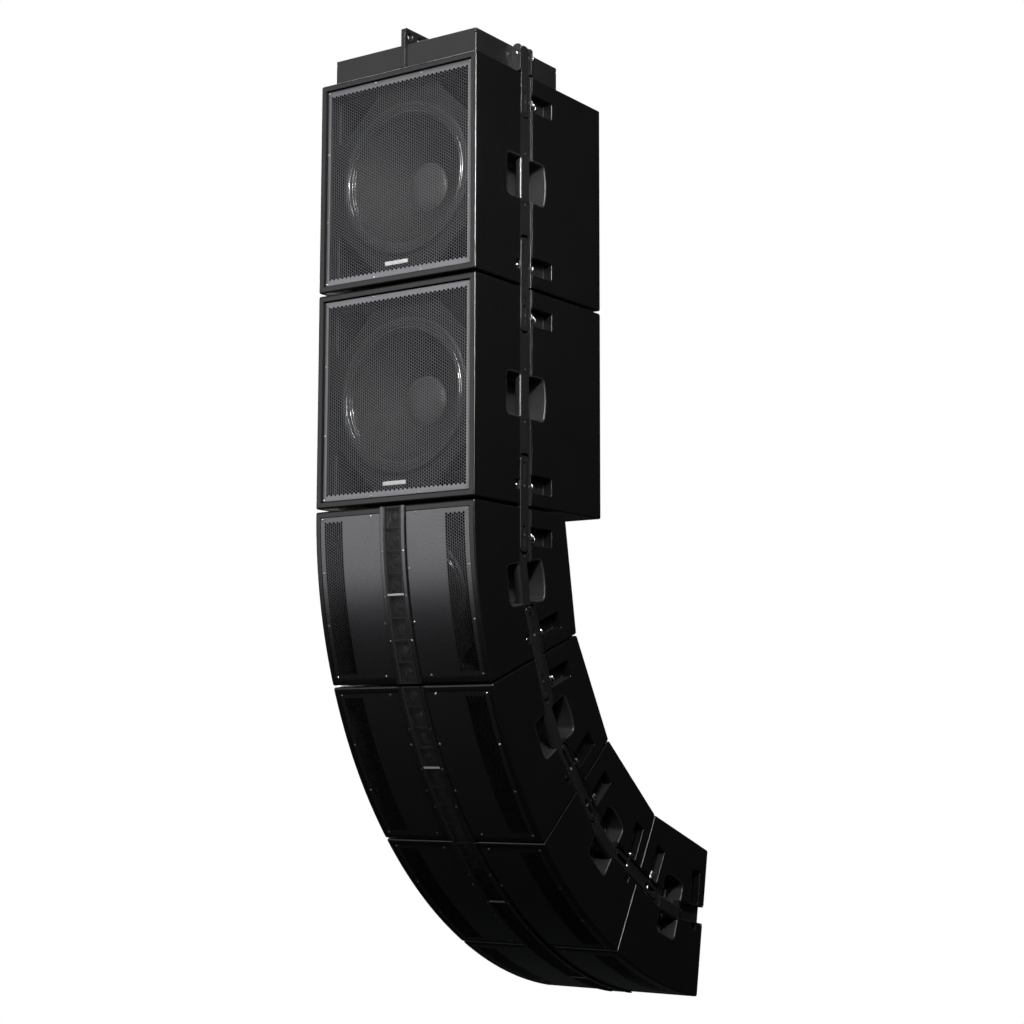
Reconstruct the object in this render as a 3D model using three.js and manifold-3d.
// Flown loudspeaker column: a fly frame, two subwoofers and four curved array boxes.
//
// Frame of the part: +X to the listener's right, +Y to the back, +Z up, millimetres.
// The origin is the middle shackle hole of the pick-up bar, which the column hangs from.
//
// Every box is built in a frame of its own: the origin is the middle of its front edge
// line, +Y goes back into the box and +Z runs up its front. A box tapers to the back by
// half a wedge above and half a wedge below, so a row of them bends into an arc.
import * as THREE from 'three';
import { mergeVertices } from 'three/addons/utils/BufferGeometryUtils.js';
import Module from 'manifold-3d';

// ---------------------------------------------------------------- driving dimensions
const DEG = Math.PI / 180;
const HALF_WIDTH = 290;
const WALL = 18;
const SUB = { front: 646, depth: 671, halfWedge: 0, baffle: 50, sides: 20 };
const ARRAY = { front: 520, depth: 469, halfWedge: 10 * DEG, baffle: 74, sides: 14 };
const SUB_COUNT = 2;
const ARRAY_COUNT = 4;
const FRAME_GAP = 2;
const SUB_GAP = 8;
const ARRAY_GAP = 5;
const CLEAR = 0.5;

// Rigging, measured back along the joint plane (s) and away from it into a box (d).
const RAIL_SET_BACK = 258;
const RAIL = { half: 30, sheet: 4, inner: 264, outer: 288, grip: 24, gripReach: 50, linkClear: 3 };
const LINK = { half: 20, thick: 14, middle: 278, rise: 150, frameRise: 88, drop: 132 };
const CAPTIVE_PIN = { radius: 4.5, depth: 58, tip: 38, headRadius: 11, head: 36, headLong: 5 };
const QUICK_PIN = { radius: 4, depth: 80, headRadius: 11.5, head: 31, headLong: 5, knob: 6, end: 56 };
const PIN_POCKET = { half: 26, end: 137, inner: 258 };
const BATTEN = { ahead: 50, behind: 10, skin: 8 };
const TIP_NOTCH = { reach: 22, half: 14, inner: 270 };
const TIE = { half: 9, depth: 110 };
const CUP = { inner: 222, skin: 6, corner: 10, bulge: 9 };
SUB.cup = { ahead: 98, behind: 94, half: 62 };
ARRAY.cup = { ahead: 86, behind: 90, half: 58 };

// Drivers: radii from the axis, depths back from the front face of the mounting flange.
SUB.driver = {
  rim: 231, rimLip: 213, rimThick: 7, seat: 206, coneEdge: 196, coneDepth: 128, neck: 56,
  basketDepth: 146, magnet: 112, magnetDepth: 214, coil: 51, travel: 8, capRadius: 72,
};
ARRAY.driver = {
  rim: 178, rimLip: 162, rimThick: 6, seat: 157, coneEdge: 150, coneDepth: 70, neck: 42,
  basketDepth: 84, magnet: 88, magnetDepth: 134, coil: 38, travel: 6, capRadius: 52,
};
const CHASSIS = { skin: 5, coilGap: 4, backPlate: 20, shoulder: 26 };
const PAPER = { thick: 3, edgeBehindRim: 4, formerHalf: 1.5, capRise: 1 / 8 };

// Corner ports: how far they reach across and up, and where their 45-degree side runs.
SUB.port = { across: 254, up: 284, diagonal: 385 };
ARRAY.port = { across: 254, up: 220, diagonal: 340 };

const GRILLE = { inset: 20, setBack: 7, sheet: 2, fold: 22 };
const FACE = { inset: 20, setBack: 1, sheet: 2, slotHalf: 45, land: 14 };
const HF = { half: 45, inset: 1.5, proud: 5, throatHalf: 43, depth: 46, mouthHalf: 30, mouthDepth: 30 };

const FLY_FRAME = { half: 263, front: 36, back: 463, height: 84, beam: 40, strap: 12, ear: 27 };
const EAR = { front: [-32, -26], back: [26, 34], bottom: 6, top: 90 };
const BAR = { half: 7.5, front: 28, back: 471, top: 136, holeZ: 113, holeRadius: 11 };
const BAR_HOLES = { count: 9, pitch: 49 };

// ---------------------------------------------------------------- finishes
const finish = (color, roughness, metalness) =>
  new THREE.MeshStandardMaterial({ color, roughness, metalness });
const FINISH = {
  cabinet: finish(0x141414, 0.6, 0.0),
  grille: finish(0x26272a, 0.5, 0.6),
  face: finish(0x1b1b1d, 0.5, 0.4),
  hf: finish(0x17171a, 0.5, 0.4),
  chassis: finish(0x202124, 0.45, 0.7),
  cone: finish(0x8c8a84, 0.8, 0.0),
  rigging: finish(0x232325, 0.45, 0.8),
  pin: finish(0xb9bcc0, 0.3, 1.0),
};

// ---------------------------------------------------------------- solids
const wasm = await Module();
wasm.setup();

// A closed geometry as a solid that can be joined and cut.
function solidOf(geometry) {
  geometry.deleteAttribute('normal');
  geometry.deleteAttribute('uv');
  const merged = mergeVertices(geometry, 1e-3);
  const corners = merged.index.array;
  const kept = [];
  for (let i = 0; i < corners.length; i += 3) {
    const [a, b, c] = corners.slice(i, i + 3);
    if (a !== b && b !== c && c !== a) kept.push(a, b, c);
  }
  return new wasm.Manifold(new wasm.Mesh({
    numProp: 3,
    vertProperties: new Float32Array(merged.attributes.position.array),
    triVerts: new Uint32Array(kept),
  }));
}

function geometryOf(solid) {
  const mesh = solid.getMesh();
  const geometry = new THREE.BufferGeometry();
  geometry.setAttribute('position', new THREE.BufferAttribute(mesh.vertProperties, 3));
  geometry.setIndex(new THREE.BufferAttribute(mesh.triVerts, 1));
  return geometry;
}

const join = (solids) => solids.reduce((whole, piece) => whole.add(piece));
const cut = (solid, tools) => tools.reduce((whole, tool) => whole.subtract(tool), solid);

function box(x0, x1, y0, y1, z0, z1) {
  const block = new THREE.BoxGeometry(x1 - x0, y1 - y0, z1 - z0);
  return solidOf(block.translate((x0 + x1) / 2, (y0 + y1) / 2, (z0 + z1) / 2));
}

function extruded(outline, length) {
  const shape = new THREE.Shape(outline.map(([u, v]) => new THREE.Vector2(u, v)));
  return new THREE.ExtrudeGeometry(shape, { depth: length, bevelEnabled: false });
}

// An outline of [y, z] points, standing between x0 and x1.
function prismX(outline, x0, x1) {
  const turn = new THREE.Matrix4().makeBasis(
    new THREE.Vector3(0, 1, 0), new THREE.Vector3(0, 0, 1), new THREE.Vector3(1, 0, 0));
  return solidOf(extruded(outline, x1 - x0).applyMatrix4(turn).translate(x0, 0, 0));
}

// An outline of [x, z] points, running back from y0 to y1.
function prismY(outline, y0, y1) {
  const turn = new THREE.Matrix4().makeBasis(
    new THREE.Vector3(1, 0, 0), new THREE.Vector3(0, 0, 1), new THREE.Vector3(0, -1, 0));
  return solidOf(extruded(outline, y1 - y0).applyMatrix4(turn).translate(0, y1, 0));
}

// The same prism on the left and the right of the object.
const onBothSides = (outline, x0, x1) =>
  [prismX(outline, x0, x1), prismX(outline, -x1, -x0)];

// A round bar along Y about the point [x, z].
function rodY(radius, y0, y1, x, z, sides = 6) {
  const rod = new THREE.CylinderGeometry(radius, radius, y1 - y0, sides);
  return solidOf(rod.translate(x, (y0 + y1) / 2, z));
}

// A profile of [radius, y] points, listed either way round, turned about the Y axis.
function turnedY(profile, sides) {
  const points = profile.map(([r, y]) => new THREE.Vector2(r, y));
  if (THREE.ShapeUtils.area(points) < 0) points.reverse();
  return solidOf(new THREE.LatheGeometry(points, sides));
}

// ---------------------------------------------------------------- places in a box
// The point at set-back s along the top (end 1) or bottom (end -1) face and d inside it.
function inBox(kind, end, s, d) {
  const [cos, sin] = [Math.cos(kind.halfWedge), Math.sin(kind.halfWedge)];
  return [s * cos - d * sin, end * (kind.front / 2 - s * sin - d * cos)];
}

// The point at depth y in the box, `inset` inside its top or bottom face.
function atDepth(kind, end, y, inset) {
  const [cos, tan] = [Math.cos(kind.halfWedge), Math.tan(kind.halfWedge)];
  return [y, end * (kind.front / 2 - y * tan - inset / cos)];
}

// Four-sided outline across the whole height of the box, between two depths.
const slab = (kind, y0, y1, inset) => [
  atDepth(kind, -1, y0, inset), atDepth(kind, -1, y1, inset),
  atDepth(kind, 1, y1, inset), atDepth(kind, 1, y0, inset),
];

// Four-sided outline near one end: s from s0 to s1, d from d0 to d1.
function patch(kind, end, s0, s1, d0, d1) {
  const corners = [[s0, d0], [s0, d1], [s1, d1], [s1, d0]].map(([s, d]) => inBox(kind, end, s, d));
  return end > 0 ? corners : corners.reverse();
}

// Points down the front of the box, `back` behind its surface and `inset` from its ends.
function frontLine(kind, back, inset, steps = 5) {
  if (kind.halfWedge === 0) {
    const z = kind.front / 2 - inset;
    return [[back, z], [back, -z]];
  }
  const radius = kind.front / 2 / Math.sin(kind.halfWedge);
  const reach = kind.halfWedge - Math.asin(inset / (radius - back));
  return Array.from({ length: steps + 1 }, (_, i) => {
    const angle = reach * (1 - 2 * i / steps);
    return [
      radius * Math.cos(kind.halfWedge) - (radius - back) * Math.cos(angle),
      (radius - back) * Math.sin(angle),
    ];
  });
}

// A band that follows the front of the box from one depth to another.
const frontBand = (kind, back0, back1, inset) =>
  [...frontLine(kind, back0, inset), ...frontLine(kind, back1, inset).reverse()];

// Where the middle of the rail crosses the middle of the box.
function kneeDepth(kind) {
  const rise = kind.front / 2 - RAIL_SET_BACK * Math.sin(kind.halfWedge);
  return RAIL_SET_BACK * Math.cos(kind.halfWedge) - rise * Math.tan(kind.halfWedge);
}

// Outline of the rail: square to each joint plane, with its bend at half height.
function railOutline(kind, half, trim) {
  const s = RAIL_SET_BACK;
  const knee = kneeDepth(kind);
  const wide = half / Math.cos(kind.halfWedge);
  return [
    inBox(kind, 1, s - half, trim), [knee - wide, 0], inBox(kind, -1, s - half, trim),
    inBox(kind, -1, s + half, trim), [knee + wide, 0], inBox(kind, 1, s + half, trim),
  ];
}

// Outline of the hand recess: cut corners, and a rear edge that bulges back.
function cupOutline(kind) {
  const { ahead, behind, half } = kind.cup;
  const front = kneeDepth(kind) - ahead;
  const back = kneeDepth(kind) + behind;
  const { corner, bulge } = CUP;
  return [
    [front + corner, -half], [back - corner, -half], [back, corner - half], [back + bulge, 0],
    [back, half - corner], [back - corner, half], [front + corner, half], [front, half - corner],
    [front, corner - half],
  ];
}

// Outline of the moulded cup that lines it.
function cupLining(kind) {
  const { ahead, behind, half } = kind.cup;
  const front = kneeDepth(kind) - ahead - CUP.skin;
  const back = kneeDepth(kind) + behind + CUP.bulge + CUP.skin;
  const high = half + CUP.skin;
  return [[front, -high], [back, -high], [back, high], [front, high]];
}

// ---------------------------------------------------------------- enclosure
function cornerPorts({ baffle, port: { across, up, diagonal } }) {
  const corners = [[diagonal - up, up], [across, up], [across, diagonal - across]];
  return [-1, 1].flatMap((x) => [-1, 1].map((z) =>
    prismY(corners.map(([u, v]) => [x * u, z * v]), baffle - 1, baffle + WALL + 1)));
}

function cabinet(kind) {
  const { baffle, depth, driver } = kind;
  const back = depth * Math.cos(kind.halfWedge);
  const room = HALF_WIDTH - WALL;
  const outline = [...frontLine(kind, 0, 0), inBox(kind, -1, depth, 0), inBox(kind, 1, depth, 0)];
  const shell = cut(prismX(outline, -HALF_WIDTH, HALF_WIDTH), [
    prismX(slab(kind, -40, baffle, WALL), -room, room),
    prismX(slab(kind, baffle + WALL, back - WALL, WALL), -room, room),
    rodY(driver.seat + 2, baffle - 1, baffle + WALL + 1, 0, 0, kind.sides),
    ...cornerPorts(kind),
  ]);

  // Battens behind the rails, cups behind the hand recesses.
  const batten = slab(kind, kneeDepth(kind) - BATTEN.ahead,
    RAIL_SET_BACK + PIN_POCKET.end + BATTEN.behind, WALL - 1);
  const battenInner = PIN_POCKET.inner - BATTEN.skin;
  const backed = join([
    shell,
    ...onBothSides(batten, battenInner, room + 1),
    ...onBothSides(cupLining(kind), CUP.inner - CUP.skin, room + 1),
  ]);

  const recesses = [
    onBothSides(railOutline(kind, RAIL.half + 1, -1), RAIL.inner - CLEAR, HALF_WIDTH + 1),
    onBothSides(cupOutline(kind), CUP.inner, HALF_WIDTH + 1),
  ];
  for (const [end, depthIn] of [[1, QUICK_PIN.depth], [-1, CAPTIVE_PIN.depth + 8]]) {
    const s = RAIL_SET_BACK;
    const pocket = patch(kind, end, s + RAIL.half, s + PIN_POCKET.end,
      depthIn - PIN_POCKET.half, depthIn + PIN_POCKET.half);
    const tie = patch(kind, end, s - TIE.half - 1, s + TIE.half + 1,
      TIE.depth - TIE.half - 1, TIE.depth + TIE.half + 1);
    recesses.push(onBothSides(pocket, PIN_POCKET.inner, HALF_WIDTH + 1));
    recesses.push(onBothSides(tie, battenInner - 1, RAIL.inner));
  }
  const notch = patch(kind, -1, RAIL_SET_BACK - RAIL.half - TIP_NOTCH.reach,
    RAIL_SET_BACK - RAIL.half, CAPTIVE_PIN.depth - TIP_NOTCH.half,
    CAPTIVE_PIN.depth + TIP_NOTCH.half);
  recesses.push(onBothSides(notch, TIP_NOTCH.inner, HALF_WIDTH + 1));
  return cut(backed, recesses.flat());
}

// ---------------------------------------------------------------- fronts
// Subwoofer grille: a steel pan, its edges folded back into the cabinet.
function subGrille() {
  const half = HALF_WIDTH - GRILLE.inset;
  const high = SUB.front / 2 - GRILLE.inset;
  const { setBack, sheet, fold } = GRILLE;
  const pan = box(-half, half, setBack, setBack + fold, -high, high);
  const inside = box(-half + sheet, half - sheet, setBack + sheet, setBack + fold + 1,
    -high + sheet, high - sheet);
  return pan.subtract(inside);
}

// Array front: one curved sheet with a slot in its middle for the high-frequency column.
function arrayFace() {
  const half = HALF_WIDTH - FACE.inset;
  const { setBack, sheet, inset, slotHalf, land } = FACE;
  const skin = prismX(frontBand(ARRAY, setBack, setBack + sheet, inset), -half, half);
  const slot = prismX(frontBand(ARRAY, setBack - 4, setBack + sheet + 4, inset + land),
    -slotHalf, slotHalf);
  return skin.subtract(slot);
}

// High-frequency column: a trim over the full height of the box, proud of its front, and
// a waveguide housing behind it that passes through the slot of the front panel.
function hfColumn() {
  const { half, inset, proud, throatHalf, depth, mouthHalf, mouthDepth } = HF;
  const behind = FACE.inset + FACE.land + CLEAR;
  const trim = prismX(frontBand(ARRAY, -proud, -CLEAR, inset), -half, half);
  const housing = prismX(frontBand(ARRAY, -CLEAR - 1, depth, behind), -throatHalf, throatHalf);
  const mouth = prismX(frontBand(ARRAY, -proud - 2, mouthDepth, behind + WALL), -mouthHalf, mouthHalf);
  return trim.add(housing).subtract(mouth);
}

// ---------------------------------------------------------------- drivers
// Chassis: mounting flange, basket and magnet, with the voice-coil gap open to the front.
function driverChassis({ driver, sides }) {
  const { rim, rimLip, rimThick, seat, basketDepth, magnet, magnetDepth, coil } = driver;
  const { skin, coilGap, backPlate } = CHASSIS;
  const shoulder = rimThick + CHASSIS.shoulder;
  return turnedY([
    [rim, 0], [rimLip, 0], [seat - skin, skin], [seat - skin, shoulder], [magnet - skin, basketDepth],
    [coil + coilGap, basketDepth], [coil + coilGap, magnetDepth - backPlate],
    [coil - coilGap, magnetDepth - backPlate], [coil - coilGap, basketDepth], [0, basketDepth],
    [0, magnetDepth], [magnet, magnetDepth], [magnet, basketDepth + skin],
    [seat, shoulder + skin], [seat, rimThick], [rim, rimThick], [rim, 0],
  ], sides);
}

// Moving cone with its dust cap and voice-coil former.
function driverCone({ driver, sides }) {
  const { coneEdge, coneDepth, neck, capRadius, coil, basketDepth, travel, rimThick } = driver;
  const { thick, edgeBehindRim, formerHalf, capRise } = PAPER;
  const edge = rimThick + edgeBehindRim;
  const capEdge = coneDepth - (capRadius - neck) * (coneDepth - edge) / (coneEdge - neck);
  const coilEnd = basketDepth + 2 * travel;
  return turnedY([
    [0, capEdge - capRadius * capRise], [capRadius, capEdge], [coneEdge, edge],
    [coneEdge, edge + thick], [coil + formerHalf, coneDepth + thick], [coil + formerHalf, coilEnd],
    [coil - formerHalf, coilEnd], [coil - formerHalf, coneDepth], [0, coneDepth],
  ], sides);
}

// ---------------------------------------------------------------- rigging
// One box's rigging: a rail in each side, open channels at both ends for the links,
// a hand grip at half height, and two ties across the inside of the cabinet.
function riggingFrame(kind) {
  const s = RAIL_SET_BACK;
  const web = RAIL.inner + RAIL.sheet;
  const bore = RAIL.half - RAIL.sheet;
  const cuts = [];
  const ties = [];
  for (const [end, linkEnd, pin] of [[1, LINK.drop, QUICK_PIN], [-1, LINK.rise, CAPTIVE_PIN]]) {
    const channel = patch(kind, end, s - bore, s + bore, -2, linkEnd + RAIL.linkClear);
    cuts.push(...onBothSides(channel, web, RAIL.outer + 1));
    cuts.push(...[-1, 1].map((side) => crossBore(kind, end, pin, side)));
    ties.push(prismX(patch(kind, end, s - TIE.half, s + TIE.half,
      TIE.depth - TIE.half, TIE.depth + TIE.half), -RAIL.inner - 1, RAIL.inner + 1));
  }
  const knee = kneeDepth(kind);
  const high = kind.cup.half;
  const { grip, gripReach } = RAIL;
  for (const [from, to] of [[knee - gripReach, knee - grip], [knee + grip, knee + gripReach]]) {
    cuts.push(...onBothSides([[from, -high], [to, -high], [to, high], [from, high]],
      RAIL.inner - 1, RAIL.outer + 1));
  }
  const rails = onBothSides(railOutline(kind, RAIL.half, CLEAR), RAIL.inner, RAIL.outer);
  return join([cut(rails[0].add(rails[1]), cuts), ...ties]);
}

// Clearance hole for a pin, through both flanges of one rail.
function crossBore(kind, end, pin, side) {
  const along = RAIL.half + 3;
  const bore = new THREE.CylinderGeometry(pin.radius + 1, pin.radius + 1, 2 * along, 6);
  const [y, z] = inBox(kind, end, RAIL_SET_BACK, pin.depth);
  bore.rotateX(-end * kind.halfWedge);
  return solidOf(bore.translate(side * LINK.middle, y, z));
}

// Link bar with its captive pin, in the frame of the joint: +Y back, +Z up, about the
// middle of the gap. The quick pin passes through the lower end.
function linkBar(gap, rise) {
  const { half, thick, drop } = LINK;
  const captive = CAPTIVE_PIN.depth + gap / 2;
  const quick = QUICK_PIN.depth + gap / 2;
  const end = (z, sign) => [[-half, z - sign * half / 2], [-half / 2, z], [half / 2, z],
    [half, z - sign * half / 2]];
  const bar = prismX([...end(-drop, -1), ...end(rise, 1).reverse()], -thick / 2, thick / 2);
  const { radius, tip, head, headLong, headRadius } = CAPTIVE_PIN;
  return join([
    bar.subtract(rodY(QUICK_PIN.radius + 1, -half - 1, half + 1, 0, -quick)),
    rodY(radius, -tip, head + 1, 0, captive),
    rodY(headRadius, head, head + headLong, 0, captive, 8),
  ]);
}

// Quick-release pin along +Y, from its tip in the front flange to its pull knob.
function quickPin() {
  const { radius, headRadius, head, headLong, knob, end } = QUICK_PIN;
  return turnedY([
    [0, -RAIL.half], [radius, -RAIL.half], [radius, head], [headRadius, head],
    [headRadius, head + headLong], [knob, head + headLong], [knob, end], [0, end],
  ], 8);
}

// ---------------------------------------------------------------- fly frame
function flyFrame() {
  const { half, front, back, height, beam, strap, ear } = FLY_FRAME;
  const ring = box(-half, half, front, back, FRAME_GAP, height).subtract(
    box(-half + beam, half - beam, front + beam, back - beam, FRAME_GAP - 1, height + 1));
  const slot = BAR.half + CLEAR;
  const slots = [[front - 1, front + beam + 1], [back - beam - 1, back + 1]].map(([y0, y1]) =>
    box(-slot, slot, y0, y1, strap, height + 1));
  const pinZ = FRAME_GAP / 2 + CAPTIVE_PIN.depth + FRAME_GAP / 2;
  const ears = [-1, 1].flatMap((side) => [EAR.front, EAR.back].map(([s0, s1]) => {
    const [y0, y1] = [RAIL_SET_BACK + s0, RAIL_SET_BACK + s1];
    const [x0, x1] = [side * (half - 1), side * (half + ear)].sort((a, b) => a - b);
    const plate = box(x0, x1, y0, y1, EAR.bottom, EAR.top);
    return plate.subtract(rodY(CAPTIVE_PIN.radius + 1, y0 - 1, y1 + 1, side * LINK.middle, pinZ));
  }));
  return join([cut(ring, slots), ...ears]);
}

function pickupBar() {
  const { half, front, back, top, holeZ, holeRadius } = BAR;
  const { strap } = FLY_FRAME;
  const bottom = strap + CLEAR;
  const outline = [
    [front, bottom], [back, bottom], [back, top - 10], [back - 10, top], [front + 10, top],
    [front, top - 10],
  ];
  const middle = (front + back) / 2;
  const holes = Array.from({ length: BAR_HOLES.count }, (_, i) => {
    const hole = new THREE.CylinderGeometry(holeRadius, holeRadius, 4 * half, 8);
    const y = middle + (i - (BAR_HOLES.count - 1) / 2) * BAR_HOLES.pitch;
    return solidOf(hole.rotateZ(Math.PI / 2).translate(0, y, holeZ));
  });
  return cut(prismX(outline, -half, half), holes);
}

// ---------------------------------------------------------------- assembly
function part(name, geometry, material, parent, x = 0, y = 0, z = 0) {
  const mesh = new THREE.Mesh(geometry, material);
  mesh.name = name;
  mesh.position.set(x, y, z);
  parent.add(mesh);
}

function place(parent, y, z, angle) {
  const frame = new THREE.Group();
  frame.position.set(0, y, z);
  frame.rotation.x = angle;
  parent.add(frame);
  return frame;
}

const shapes = (kind) => ({
  cabinet: geometryOf(cabinet(kind)),
  rigging: geometryOf(riggingFrame(kind)),
  chassis: geometryOf(driverChassis(kind)),
  cone: geometryOf(driverCone(kind)),
});
const SUB_SHAPES = { ...shapes(SUB), front: geometryOf(subGrille()) };
const ARRAY_SHAPES = {
  ...shapes(ARRAY), front: geometryOf(arrayFace()), column: geometryOf(hfColumn()),
};
const PIN_SHAPE = geometryOf(quickPin());

function addBox(parent, name, kind, stock) {
  const flange = kind.baffle - kind.driver.rimThick - CLEAR;
  part(`${name}_cabinet`, stock.cabinet, FINISH.cabinet, parent);
  part(`${name}_rigging_frame`, stock.rigging, FINISH.rigging, parent);
  part(`${name}_woofer_chassis`, stock.chassis, FINISH.chassis, parent, 0, flange);
  part(`${name}_woofer_cone`, stock.cone, FINISH.cone, parent, 0, flange);
  if (kind === SUB) {
    part(`${name}_grille`, stock.front, FINISH.grille, parent);
  } else {
    part(`${name}_front_panel`, stock.front, FINISH.face, parent);
    part(`${name}_hf_column`, stock.column, FINISH.hf, parent);
  }
}

function addJoint(parent, name, gap, rise) {
  const link = geometryOf(linkBar(gap, rise));
  for (const [side, x] of [['left', -LINK.middle], ['right', LINK.middle]]) {
    part(`${name}_link_${side}`, link, FINISH.rigging, parent, x, RAIL_SET_BACK);
    part(`${name}_pin_${side}`, PIN_SHAPE, FINISH.pin, parent, x, RAIL_SET_BACK,
      -QUICK_PIN.depth - gap / 2);
  }
}

// Hang the boxes one under the other. `y, z` is the front edge of the next joint plane
// and `angle` its tilt; each box turns the next plane by its own wedge.
const group = new THREE.Group();
const column = new THREE.Group();
column.position.set(0, -(BAR.front + BAR.back) / 2, -BAR.holeZ);
group.add(column);
part('fly_frame', geometryOf(flyFrame()), FINISH.rigging, column);
part('pickup_bar', geometryOf(pickupBar()), FINISH.rigging, column);

const order = [
  ...Array.from({ length: SUB_COUNT }, (_, i) => [`sub_${i + 1}`, SUB, SUB_SHAPES]),
  ...Array.from({ length: ARRAY_COUNT }, (_, i) => [`array_${i + 1}`, ARRAY, ARRAY_SHAPES]),
];
let [y, z, angle] = [0, FRAME_GAP, 0];
order.forEach(([name, kind, stock], i) => {
  const gap = i === 0 ? FRAME_GAP : i <= SUB_COUNT ? SUB_GAP : ARRAY_GAP;
  const [sin, cos] = [Math.sin(angle), Math.cos(angle)];
  addJoint(place(column, y + sin * gap / 2, z - cos * gap / 2, angle), name, gap,
    i === 0 ? LINK.frameRise : LINK.rise);
  y += sin * gap;
  z -= cos * gap;
  const middle = angle + kind.halfWedge;
  const [run, fall] = [Math.sin(middle) * kind.front / 2, Math.cos(middle) * kind.front / 2];
  addBox(place(column, y + run, z - fall, middle), name, kind, stock);
  y += 2 * run;
  z -= 2 * fall;
  angle += 2 * kind.halfWedge;
});

export default group;
